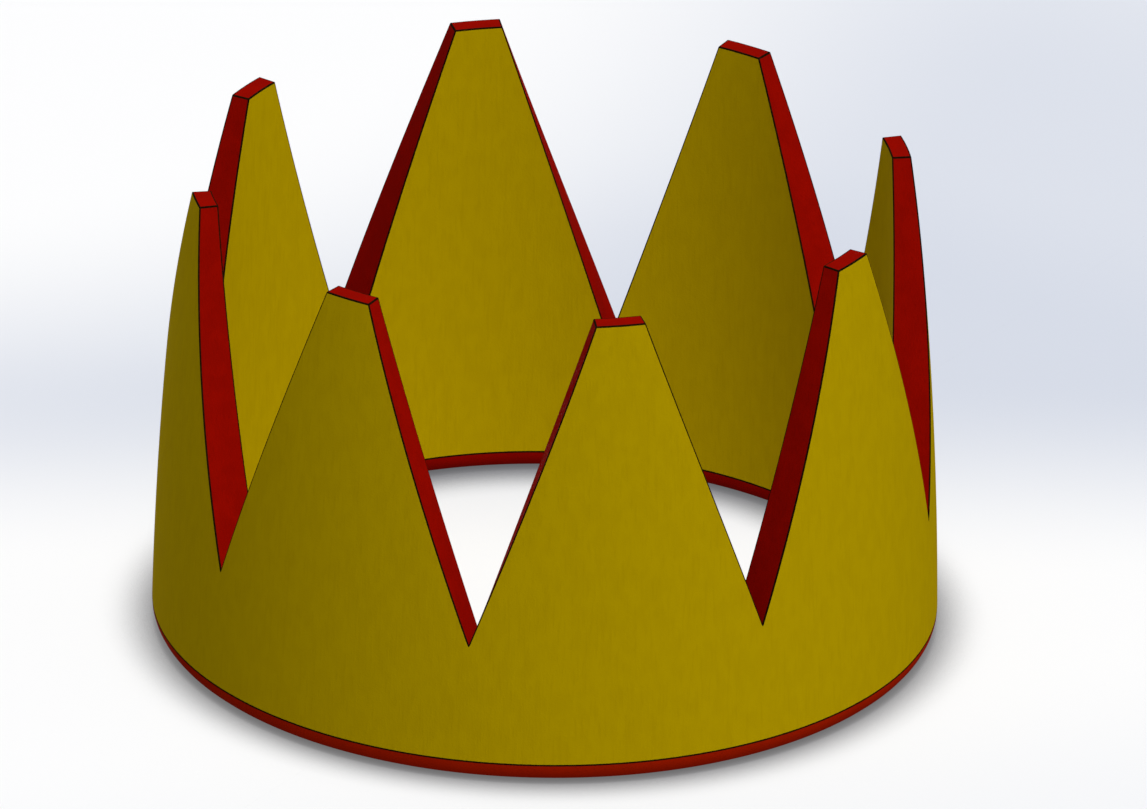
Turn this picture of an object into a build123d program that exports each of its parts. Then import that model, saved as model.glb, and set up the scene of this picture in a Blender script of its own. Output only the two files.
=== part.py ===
from build123d import *
import math
import os

# A paper crown: one thick wall of board, closed to a ring, with a plain band below and
# pointed gaps cut down from the rim. The origin is the middle of the foot, on the floor.
# +X goes through the middle point of the strip, and the strip's two ends meet at -X.

# Driving dimensions of the ring, in millimetres
head_radius = 87.5
foot_wall = 12.5
rim_wall = 5.0
crown_height = 125.0
outer_bow = 1.7
foot_rounding = 5.0
foot_rounding_share = 0.4

# Driving dimensions of the strip's pattern, measured along the outside of the foot
band_height = 37.5
notch_width = 65.0
point_width = 14.0
narrowest_closing_point = 8.0

# The notch cutter stands this far past the rim and past the outside of the wall
cutter_margin = 10.0

# The ring
foot_radius = head_radius + foot_wall
rim_radius = head_radius + rim_wall
rounding = min(foot_rounding, foot_rounding_share * foot_wall)

# The pattern repeats along the strip, and what is left of the strip is the closing point,
# which is narrower or wider than the others
strip_length = 2 * math.pi * foot_radius
notch_pitch = notch_width + point_width
notch_count = int((strip_length + point_width - narrowest_closing_point) // notch_pitch)
pitch_angle = math.degrees(notch_pitch / foot_radius)
pattern_angle = (notch_count - 1) * pitch_angle

# The cutter
notch_depth = crown_height - band_height
cutter_height = notch_depth + cutter_margin
cutter_radius = foot_radius + cutter_margin
half_notch_angle = math.degrees(notch_width / 2 / foot_radius)
cutter_lean = half_notch_angle * cutter_height / notch_depth

# One notch. A straight line on the flat strip becomes a helix round the ring, so each flank
# is swept: half a disc turns about the ring's axis as it rises, and what it shares with its
# mirror image is a wedge that is a single radial line at the band and widens evenly to the
# rim. Its flanks point at the axis at every height.
with BuildPart() as notch:
    with BuildLine() as rise:
        Line((0, 0, band_height), (0, 0, band_height + cutter_height))
    with BuildLine() as lead:
        Helix(
            pitch=cutter_height * 360 / cutter_lean,
            height=cutter_height,
            radius=cutter_radius,
            center=(0, 0, band_height),
            lefthand=True,
        )
    with BuildSketch(Plane.XY.offset(band_height)):
        with BuildLine():
            straight = Line((-cutter_radius, 0), (cutter_radius, 0))
            ThreePointArc(straight @ 1, (0, cutter_radius), straight @ 0)
        make_face()
    sweep(path=rise.line, binormal=lead.edge())
    mirror(about=Plane.XZ, mode=Mode.INTERSECT)

# The wall is straight up inside, where the head goes, and leans inwards with a slight bow
# outside. Both corners of the foot are rounded, and a flat ring is left to stand on.
with BuildPart() as crown:
    with BuildSketch(Plane.XZ) as wall_section:
        with BuildLine():
            inside = Line((head_radius, 0), (head_radius, crown_height))
            rim = Line(inside @ 1, (rim_radius, crown_height))
            outside = SagittaArc((foot_radius, 0), rim @ 1, -outer_bow)
            Line(inside @ 0, outside @ 0)
        make_face()
        fillet(wall_section.vertices().group_by(Axis.Y)[0], rounding)
    revolve(axis=Axis.Z)
    with PolarLocations(0, notch_count, -pattern_angle / 2, pattern_angle, endpoint=True):
        add(notch.part, mode=Mode.SUBTRACT)

crown.part.label = "crown"
os.makedirs("parts", exist_ok=True)
export_step(crown.part, "parts/crown.step")
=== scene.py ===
import math

import bmesh
import bpy
from mathutils import Matrix, Vector


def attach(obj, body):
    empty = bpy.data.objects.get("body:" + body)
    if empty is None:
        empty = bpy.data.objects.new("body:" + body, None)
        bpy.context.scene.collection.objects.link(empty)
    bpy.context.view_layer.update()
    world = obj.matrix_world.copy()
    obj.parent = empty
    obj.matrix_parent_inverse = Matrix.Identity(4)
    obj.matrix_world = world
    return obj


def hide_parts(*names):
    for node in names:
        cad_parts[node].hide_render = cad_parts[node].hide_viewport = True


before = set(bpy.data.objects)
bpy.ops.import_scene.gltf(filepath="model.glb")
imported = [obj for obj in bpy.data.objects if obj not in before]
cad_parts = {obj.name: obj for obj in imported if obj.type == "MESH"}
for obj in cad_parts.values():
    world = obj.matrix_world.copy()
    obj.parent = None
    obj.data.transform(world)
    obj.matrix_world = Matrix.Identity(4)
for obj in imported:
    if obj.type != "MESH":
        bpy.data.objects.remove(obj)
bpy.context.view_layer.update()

# Sizes of the crown, in metres
HEAD_RADIUS = 0.0875
FOOT_RADIUS = 0.100
RIM_RADIUS = 0.0925
CROWN_HEIGHT = 0.125
OUTER_BOW = 0.0017
FOOT_ROUNDING = 0.005
BAND_HEIGHT = 0.0375
NOTCH_WIDTH = 0.065
POINT_WIDTH = 0.014
NOTCH_COUNT = 8

# The surface lies this far inside the solid's outside, so that it never stands proud of it
SKIN = 0.00004

# The thin dark line above the foot and along each cut arris, which is a little softened
FOOT_LINE_WIDTH = 0.00045
EDGE_LINE_WIDTH = 0.00036
ARRIS_WIDTH = 0.00018

# How finely the surfaces are divided
COLUMNS = 28
BAND_ROWS = 12
POINT_ROWS = 44
WALL_ROWS = 5
ROUND_STEPS = 8

# Places nearer than this are one, and an edge that bends by more than this is an arris
WELD_DISTANCE = 1e-6
ARRIS_BEND = math.radians(50)

# The photograph's frame, and the pixel on which the middle of the foot's upper line lies
PHOTO_WIDTH = 1147
PHOTO_HEIGHT = 809
PIXELS_PER_METRE = 3930.0
FOOT_LINE_PIXEL = (544.753, 599.197)
CAMERA_AZIMUTH = math.radians(-12.0)
CAMERA_ELEVATION = math.radians(25.238)
CAMERA_ROLL = math.radians(0.865)
CAMERA_DISTANCE = 2.5
CAMERA_SIGHT = (0.01, 50.0)


def colour(red, green, blue):
    """A screen colour, 0 to 255, as the linear values that a shader takes."""
    linear = []
    for value in (red / 255, green / 255, blue / 255):
        linear.append(value / 12.92 if value <= 0.04045 else ((value + 0.055) / 1.055) ** 2.4)
    return (*linear, 1.0)


# The bowed outside of the wall is one arc, from the foot to the rim. Its centre is given by
# its distance from the crown's axis and its height.
chord = Vector((RIM_RADIUS - FOOT_RADIUS, CROWN_HEIGHT))
arc_radius = (chord.length_squared / 4 + OUTER_BOW ** 2) / (2 * OUTER_BOW)
outward = Vector((chord.y, -chord.x)).normalized()
arc_centre = Vector((FOOT_RADIUS, 0)) + chord / 2 - outward * (arc_radius - OUTER_BOW)
arc_centre.x -= SKIN


def outer_radius(z):
    """The radius of the wall's outside at height z."""
    return arc_centre.x + math.sqrt(arc_radius ** 2 - (z - arc_centre.y) ** 2)


def inner_radius(z):
    """The radius of the wall's inside, which is the same at every height."""
    return HEAD_RADIUS


# The rounding of the foot's outer corner touches that arc at this angle
lean = math.asin((FOOT_ROUNDING - arc_centre.y) / (arc_radius - FOOT_ROUNDING))
rounding_radius = arc_centre.x + (arc_radius - FOOT_ROUNDING) * math.cos(lean)
outer_foot_line = FOOT_ROUNDING * (1 + math.sin(lean))

# The strip's pattern, as angles round the ring
pitch = (NOTCH_WIDTH + POINT_WIDTH) / FOOT_RADIUS
half_notch = NOTCH_WIDTH / 2 / FOOT_RADIUS
first_notch = -(NOTCH_COUNT - 1) * pitch / 2


def notch_angle(z):
    """Half the width of a notch at height z, as an angle."""
    return half_notch * max(0.0, z - BAND_HEIGHT) / (CROWN_HEIGHT - BAND_HEIGHT)


def spread(low, high, steps):
    """Evenly spaced values from low to high, with both of them."""
    return [low + (high - low) * i / steps for i in range(steps + 1)]


def lined(low, high, steps, line=EDGE_LINE_WIDTH):
    """An even spread, with room for a dark line at each end."""
    return [low, *spread(low + line, high - line, steps), high]


def point_angles(index, z):
    """The azimuths of one point's columns at height z. The last point closes the ring."""
    start = first_notch + index * pitch
    end = start + pitch if index < NOTCH_COUNT - 1 else first_notch + 2 * math.pi
    return lined(start + notch_angle(z), end - notch_angle(z), COLUMNS, EDGE_LINE_WIDTH / FOOT_RADIUS)


def place(radius, angle, z):
    """The point at this distance and azimuth from the crown's axis, at height z."""
    return Vector((radius * math.cos(angle), radius * math.sin(angle), z))


def add_grid(mesh, rows, material, flip=False, lines=""):
    """Fills a grid of places with four-sided faces of one material, with dark lines on
    the named borders: l and r for the first and last column, b and t for the rows."""
    grid = [[mesh.verts.new(p) for p in row] for row in rows]
    for i, (low, high) in enumerate(zip(grid, grid[1:])):
        for j, (a, b, c, d) in enumerate(zip(low, low[1:], high[1:], high)):
            face = mesh.faces.new((a, d, c, b) if flip else (a, b, c, d))
            borders = {"l": j == 0, "r": j == len(low) - 2, "b": i == 0, "t": i == len(grid) - 2}
            face.material_index = LINE if any(borders[side] for side in lines) else material
            face.smooth = True


# The crown's material slots
OUTSIDE, INSIDE, CUT, FOOT, INNER_FOOT, LINE = range(6)


def point_heights():
    """The heights of a point's rows, with room for a dark line under the rim."""
    return [*spread(BAND_HEIGHT, CROWN_HEIGHT - EDGE_LINE_WIDTH, POINT_ROWS), CROWN_HEIGHT]


def add_side(mesh, index, foot_line, radius, material, flip):
    """The outside or the inside of one point, with the band and the dark line below it."""
    def row(z):
        return [place(radius(z), angle, z) for angle in point_angles(index, z)]

    band = [foot_line, *spread(foot_line + FOOT_LINE_WIDTH, BAND_HEIGHT, BAND_ROWS)]
    add_grid(mesh, [row(z) for z in band], material, flip, "b")
    add_grid(mesh, [row(z) for z in point_heights()], material, flip, "lrt")


def add_cuts(mesh, index):
    """The two cut flanks of one point, and its flat top."""
    for end, flip in ((0, False), (-1, True)):
        rows = []
        for z in point_heights():
            angle = point_angles(index, z)[end]
            rows.append([place(r, angle, z) for r in lined(HEAD_RADIUS, outer_radius(z), WALL_ROWS)])
        add_grid(mesh, rows, CUT, flip, "lrt")
    angles = point_angles(index, CROWN_HEIGHT)
    rim = lined(HEAD_RADIUS, outer_radius(CROWN_HEIGHT), WALL_ROWS)
    rows = [[place(r, angle, CROWN_HEIGHT) for angle in angles] for r in rim]
    add_grid(mesh, rows, CUT, True, "lrbt")


def add_foot(mesh, index):
    """The band's rounded underside, with the flat ring that the crown stands on."""
    outer = []
    for turn in spread(lean, -math.pi / 2, ROUND_STEPS):
        r = rounding_radius + FOOT_ROUNDING * math.cos(turn)
        outer.append((r, FOOT_ROUNDING * (1 + math.sin(turn))))
    inner = []
    for turn in spread(-math.pi / 2, -math.pi, ROUND_STEPS):
        r = HEAD_RADIUS + FOOT_ROUNDING * (1 + math.cos(turn))
        inner.append((r, FOOT_ROUNDING * (1 + math.sin(turn))))
    angles = point_angles(index, 0)
    for profile, material in ((outer + inner[:1], FOOT), (inner, INNER_FOOT)):
        rows = [[place(r, angle, z) for angle in angles] for r, z in profile]
        add_grid(mesh, rows, material, True)


def build_crown():
    mesh = bmesh.new()
    for index in range(NOTCH_COUNT):
        add_side(mesh, index, outer_foot_line, outer_radius, OUTSIDE, False)
        add_side(mesh, index, FOOT_ROUNDING, inner_radius, INSIDE, True)
        add_cuts(mesh, index)
        add_foot(mesh, index)
    bmesh.ops.remove_doubles(mesh, verts=mesh.verts, dist=WELD_DISTANCE)
    bmesh.ops.recalc_face_normals(mesh, faces=mesh.faces)
    weight = mesh.edges.layers.float.new("bevel_weight_edge")
    for edge in mesh.edges:
        bend = edge.calc_face_angle_signed(0)
        edge[weight] = 1.0 if bend > ARRIS_BEND else 0.0
        edge.smooth = bend > -ARRIS_BEND
    data = bpy.data.meshes.new("crown_board")
    mesh.to_mesh(data)
    mesh.free()
    crown = bpy.data.objects.new("crown_board", data)
    bpy.context.scene.collection.objects.link(crown)
    bevel = crown.modifiers.new("arrises", "BEVEL")
    bevel.width = ARRIS_WIDTH
    bevel.segments = 2
    bevel.limit_method = "WEIGHT"
    bevel.material = LINE
    bevel.harden_normals = True
    return crown


class Shade:
    """One node material, with the few kinds of node that the paper and paint are made of."""

    def __init__(self, name, roughness, specular):
        self.material = bpy.data.materials.new(name)
        self.material.use_nodes = True
        self.nodes = self.material.node_tree.nodes
        self.links = self.material.node_tree.links
        self.shader = self.nodes["Principled BSDF"]
        self.shader.inputs["Roughness"].default_value = roughness
        self.shader.inputs["Specular IOR Level"].default_value = specular
        self.place = self.nodes.new("ShaderNodeTexCoord").outputs["Object"]

    def noise(self, size, detail=2.0, stretch=1.0, distortion=0.0):
        """Cloudy values, with clouds of this size in metres, drawn out upwards by stretch."""
        squeeze = self.nodes.new("ShaderNodeMapping")
        squeeze.inputs["Scale"].default_value = (1, 1, 1 / stretch)
        self.links.new(self.place, squeeze.inputs["Vector"])
        cloud = self.nodes.new("ShaderNodeTexNoise")
        cloud.inputs["Scale"].default_value = 1 / size
        cloud.inputs["Detail"].default_value = detail
        cloud.inputs["Distortion"].default_value = distortion
        self.links.new(squeeze.outputs["Vector"], cloud.inputs["Vector"])
        return cloud.outputs["Fac"]

    def height(self):
        """How high over the floor, in metres."""
        node = self.nodes.new("ShaderNodeSeparateXYZ")
        self.links.new(self.place, node.inputs[0])
        return node.outputs["Z"]

    def span(self, value, low, high, out_low=0.0, out_high=1.0):
        """The value, taken from the span low to high to the span out_low to out_high."""
        node = self.nodes.new("ShaderNodeMapRange")
        node.interpolation_type = "SMOOTHSTEP"
        limits = {"From Min": low, "From Max": high, "To Min": out_low, "To Max": out_high}
        for name, number in limits.items():
            node.inputs[name].default_value = number
        self.links.new(value, node.inputs["Value"])
        return node.outputs["Result"]

    def mix(self, first, second, share):
        """Two colours, mixed by a value."""
        node = self.nodes.new("ShaderNodeMix")
        node.data_type = "RGBA"
        for socket, source in (("A", first), ("B", second)):
            target = next(s for s in node.inputs if s.name == socket and s.type == "RGBA")
            if isinstance(source, tuple):
                target.default_value = source
            else:
                self.links.new(source, target)
        self.links.new(share, node.inputs["Factor"])
        return next(s for s in node.outputs if s.type == "RGBA")

    def paint(self, result):
        self.links.new(result, self.shader.inputs["Base Color"])

    def bump(self, *layers):
        """Raises the surface by several layers of (value, height in metres)."""
        normal = None
        for value, height in layers:
            node = self.nodes.new("ShaderNodeBump")
            node.inputs["Distance"].default_value = height
            self.links.new(value, node.inputs["Height"])
            if normal:
                self.links.new(normal, node.inputs["Normal"])
            normal = node.outputs["Normal"]
        self.links.new(normal, self.shader.inputs["Normal"])

    def roughen(self, value, low, high):
        self.links.new(self.span(value, 0.3, 0.7, low, high), self.shader.inputs["Roughness"])


def yellow_paper(name, painted_light_lift):
    """Soft coloured board: upright grain, cloudy dye, and a few darker fibres. Lift is painted
    light and shade: it makes one side's copy a little paler than the other's."""
    shade = Shade(name, 0.85, 0.001)
    grain = shade.noise(0.0008, 2.0, stretch=10.0)
    cloud = shade.noise(0.003, 2.0, stretch=2.0)
    tooth = shade.noise(0.00055, 2.0)
    fibre = shade.noise(0.0007, 2.0, stretch=5.0, distortion=2.5)
    dye = [colour(red + painted_light_lift, green + painted_light_lift, 1) for red, green in ((157, 133), (160, 136), (151, 127))]
    tone = shade.mix(dye[0], dye[1], shade.span(cloud, 0.35, 0.65))
    tone = shade.mix(tone, dye[2], shade.span(grain, 0.50, 0.72, 0.0, 0.5))
    tone = shade.mix(tone, colour(130, 108, 3), shade.span(fibre, 0.72, 0.78, 0.0, 0.25))
    shade.paint(tone)
    shade.bump((tooth, 0.00006), (grain, 0.00005))
    shade.roughen(cloud, 0.8, 0.92)
    return shade.material


def red_edge():
    """The cut edge of the board, painted: the knife's fine drag shows through the paint."""
    shade = Shade("red_edge", 0.75, 0.001)
    drag = shade.noise(0.0005, 2.0, stretch=9.0)
    cloud = shade.noise(0.005, 3.0)
    tone = shade.mix(colour(124, 7, 1), colour(130, 8, 1), shade.span(cloud, 0.35, 0.65))
    tone = shade.mix(tone, colour(116, 6, 1), shade.span(drag, 0.55, 0.75, 0.0, 0.6))
    shade.paint(tone)
    shade.bump((drag, 0.00007), (cloud, 0.0001))
    shade.roughen(cloud, 0.6, 0.8)
    return shade.material


def red_foot(name, high, low):
    """The rounded foot: the same red, with painted shade that darkens it towards the floor. High
    and low are its colours under the dark line and at the floor."""
    shade = Shade(name, 0.75, 0.001)
    grit = shade.noise(0.0007, 2.0)
    cloud = shade.noise(0.006, 3.0)
    # Painted shade: the red darkens from its high colour to its low one going down to the floor.
    tone = shade.mix(colour(*low), colour(*high), shade.span(shade.height(), 0.0, FOOT_ROUNDING))
    tone = shade.mix(tone, colour(*low), shade.span(cloud, 0.35, 0.65, 0.0, 0.2))
    tone = shade.mix(tone, colour(100, 14, 2), shade.span(grit, 0.58, 0.72, 0.0, 0.4))
    shade.paint(tone)
    shade.bump((grit, 0.00006), (cloud, 0.0001))
    shade.roughen(cloud, 0.6, 0.8)
    return shade.material


def dark_arris():
    """The narrow inked line along each arris."""
    shade = Shade("dark_arris", 0.85, 0.002)
    grit = shade.noise(0.0006, 2.0)
    shade.paint(shade.mix(colour(16, 9, 4), colour(34, 20, 8), shade.span(grit, 0.4, 0.7)))
    shade.bump((grit, 0.00004))
    return shade.material


crown = build_crown()
# Painted light and shade: the inside's copy is a little paler and the outside's a little darker.
outside = yellow_paper("yellow_outside", -2)
inside = yellow_paper("yellow_inside", 2)
# Painted shade: each foot darkens towards the floor, and the inner foot is a darker copy of the red.
foot = red_foot("red_foot", (134, 22, 1), (110, 16, 1))
inner_foot = red_foot("red_inner_foot_painted_shade", (124, 6, 1), (92, 4, 1))
for material in (outside, inside, red_edge(), foot, inner_foot, dark_arris()):
    crown.data.materials.append(material)
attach(crown, "root")
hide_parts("crown")

# The floor. The camera sees it white, with the photograph's cool tint behind and to the right,
# and a painted contact shadow where the crown stands. Part of that white is its own glow, which
# keeps the crown's shadow soft and pale. All else that the floor lights gets the bounce of a plain
# grey.
FLOOR_SIZE = 15.0
FLOOR_WHITE = (0.761, 0.763, 0.769)
FLOOR_TINT = (0.525, 0.555, 0.625)
FLOOR_GLOW = 1.30
GLOW_SHARE = 0.6
FLOOR_BOUNCE = 0.4

# The tint grows going back from the crown's middle, and also going out from a clear spot that
# lies behind and to the left. Going out from the middle in any direction, it pales to a share
# and then ends. A faint share of it also grows going to the front and a little to the right.
TINT_GROWS = (0.027, 0.148)
CLEAR_BACK = 0.42
CLEAR_LEFT = 0.21
TINT_CLEARS = (0.19, 0.345)
TINT_PALES = (0.22, 0.293)
TINT_PALE_SHARE = 0.86
TINT_FRONT = (0.05, 0.16)
TINT_FRONT_SHARE = 0.2
TINT_ENDS = (0.34, 0.60)

# The painted contact shadow round the foot. The share of open sky within this reach sets how much
# of the floor's colour is left, as the sum of two spans: sky from and to, and colour from and to.
CONTACT_REACH = 0.020
CONTACT_SAMPLES = 16
CONTACT_NEAR = (0.0, 1.0, 0.17, 0.37)
CONTACT_FAR = (0.40, 0.90, 0.0, 0.63)

floor_data = bpy.data.meshes.new("floor")
corners = [(x * FLOOR_SIZE, y * FLOOR_SIZE, 0) for x, y in ((-1, -1), (1, -1), (1, 1), (-1, 1))]
floor_data.from_pydata(corners, [], [(0, 1, 2, 3)])
floor = bpy.data.objects.new("floor", floor_data)
bpy.context.scene.collection.objects.link(floor)


def towards(azimuth, elevation):
    """A direction, where azimuth 0 is the camera's side and 90 is to the camera's right."""
    a = CAMERA_AZIMUTH + math.radians(azimuth)
    e = math.radians(elevation)
    return Vector((math.sin(a) * math.cos(e), -math.cos(a) * math.cos(e), math.sin(e)))


def looking(nodes, link):
    """1 for the camera's own rays, and for those that reach it off gloss or through glass."""
    path = nodes.new("ShaderNodeLightPath")
    rays = path.outputs["Is Camera Ray"]
    for kind in ("Is Glossy Ray", "Is Transmission Ray"):
        either = nodes.new("ShaderNodeMath")
        either.operation = "MAXIMUM"
        link(rays, either.inputs[0])
        link(path.outputs[kind], either.inputs[1])
        rays = either.outputs["Value"]
    return rays


def pale_floor():
    """The floor's own material, whose shader is a mix of glow and plain matt white."""
    shade = Shade("pale_floor", 0.9, 0.0)
    nodes = shade.nodes
    link = shade.links.new

    def along(direction):
        node = nodes.new("ShaderNodeVectorMath")
        node.operation = "DOT_PRODUCT"
        link(shade.place, node.inputs[0])
        node.inputs[1].default_value = direction
        return node.outputs["Value"]

    def distance(point):
        node = nodes.new("ShaderNodeVectorMath")
        node.operation = "DISTANCE"
        link(shade.place, node.inputs[0])
        node.inputs[1].default_value = point
        return node.outputs["Value"]

    def work(operation, first, second):
        node = nodes.new("ShaderNodeMath")
        node.operation = operation
        link(first, node.inputs[0])
        link(second, node.inputs[1])
        return node.outputs["Value"]

    behind = towards(180, 0)
    right = towards(90, 0)
    middle = distance(Vector())
    clear = distance(CLEAR_BACK * behind - CLEAR_LEFT * right)
    cool = shade.span(along(behind), *TINT_GROWS)
    cool = work("MULTIPLY", cool, shade.span(clear, *TINT_CLEARS))
    cool = work("MULTIPLY", cool, shade.span(middle, *TINT_PALES, 1.0, TINT_PALE_SHARE))
    front = along(right / 4 - behind)
    cool = work("ADD", cool, shade.span(front, *TINT_FRONT, 0.0, TINT_FRONT_SHARE))
    cool = work("MULTIPLY", cool, shade.span(middle, *TINT_ENDS, 1.0, 0.0))
    # Painted contact shadow: ambient occlusion darkens the floor's colour and glow near the crown.
    painted_contact_shadow = nodes.new("ShaderNodeAmbientOcclusion")
    painted_contact_shadow.samples = CONTACT_SAMPLES
    painted_contact_shadow.inputs["Distance"].default_value = CONTACT_REACH
    tone = shade.mix((*FLOOR_WHITE, 1.0), (*FLOOR_TINT, 1.0), cool)
    near = shade.span(painted_contact_shadow.outputs["AO"], *CONTACT_NEAR)
    far = shade.span(painted_contact_shadow.outputs["AO"], *CONTACT_FAR)
    tone = shade.mix(colour(0, 0, 0), tone, work("ADD", near, far))

    nodes.remove(shade.shader)
    glow = nodes.new("ShaderNodeEmission")
    glow.inputs["Strength"].default_value = FLOOR_GLOW
    lit = nodes.new("ShaderNodeBsdfDiffuse")
    grey = nodes.new("ShaderNodeBsdfDiffuse")
    grey.inputs["Color"].default_value = (FLOOR_BOUNCE, FLOOR_BOUNCE, FLOOR_BOUNCE, 1.0)
    seen = nodes.new("ShaderNodeMixShader")
    seen.inputs["Fac"].default_value = GLOW_SHARE
    either = nodes.new("ShaderNodeMixShader")
    link(tone, glow.inputs["Color"])
    link(tone, lit.inputs["Color"])
    link(lit.outputs["BSDF"], seen.inputs[1])
    link(glow.outputs["Emission"], seen.inputs[2])
    link(looking(nodes, link), either.inputs["Fac"])
    link(grey.outputs["BSDF"], either.inputs[1])
    link(seen.outputs["Shader"], either.inputs[2])
    link(either.outputs["Shader"], nodes["Material Output"].inputs["Surface"])
    return shade.material


floor.data.materials.append(pale_floor())

# The light: an even white room, and wide lamps that shade the faces as in the photograph.
# Only the room casts shadows, which leaves them soft. A lamp this wide still dims what lies
# behind things with its shadow off, unless its multiple importance sampling is off too.
ROOM_LIGHT = 0.25
ROOM_WHITE = 0.98
LAMP_SPREAD = math.radians(50)

# Each lamp's name, azimuth and elevation as seen from the camera, and strength
LAMPS = (
    ("front", 24, 10, 1.23),
    ("right", 60, 60, 1.71),
    ("behind", 168, 75, 1.15),
    ("back", -156, 0, 0.86),
    ("above", 0, 88, 0.34),
)
world = bpy.data.worlds.new("room")
bpy.context.scene.world = world
world.use_nodes = True
room = world.node_tree.nodes["Background"]
room.inputs["Color"].default_value = (1, 1, 1, 1)
strength = world.node_tree.nodes.new("ShaderNodeMapRange")
strength.inputs["To Min"].default_value = ROOM_LIGHT
strength.inputs["To Max"].default_value = ROOM_WHITE
wire = world.node_tree.links.new
wire(looking(world.node_tree.nodes, wire), strength.inputs["Value"])
wire(strength.outputs["Result"], room.inputs["Strength"])

for name, azimuth, elevation, energy in LAMPS:
    light = bpy.data.lights.new(name, "SUN")
    light.energy = energy
    light.angle = LAMP_SPREAD
    light.use_shadow = False
    light.cycles.use_multiple_importance_sampling = False
    lamp = bpy.data.objects.new(name, light)
    lamp.rotation_mode = "QUATERNION"
    lamp.rotation_quaternion = towards(azimuth, elevation).to_track_quat("Z", "Y")
    bpy.context.scene.collection.objects.link(lamp)

# The camera, which looks without perspective, as the photograph does
back = towards(0, math.degrees(CAMERA_ELEVATION))
level = Vector((math.cos(CAMERA_AZIMUTH), math.sin(CAMERA_AZIMUTH), 0))
upright = back.cross(level)
right = math.cos(CAMERA_ROLL) * level + math.sin(CAMERA_ROLL) * upright
up = math.cos(CAMERA_ROLL) * upright - math.sin(CAMERA_ROLL) * level
aim = Vector((0, 0, FOOT_ROUNDING))
aim += right * (PHOTO_WIDTH / 2 - FOOT_LINE_PIXEL[0]) / PIXELS_PER_METRE
aim += up * (FOOT_LINE_PIXEL[1] - PHOTO_HEIGHT / 2) / PIXELS_PER_METRE
camera_data = bpy.data.cameras.new("camera")
camera_data.type = "ORTHO"
camera_data.ortho_scale = PHOTO_WIDTH / PIXELS_PER_METRE
camera_data.clip_start, camera_data.clip_end = CAMERA_SIGHT
camera = bpy.data.objects.new("camera", camera_data)
pose = Matrix((right, up, back)).transposed().to_4x4()
pose.translation = aim + back * CAMERA_DISTANCE
camera.matrix_world = pose
bpy.context.scene.collection.objects.link(camera)
bpy.context.scene.camera = camera
bpy.context.scene.view_settings.view_transform = "Standard"
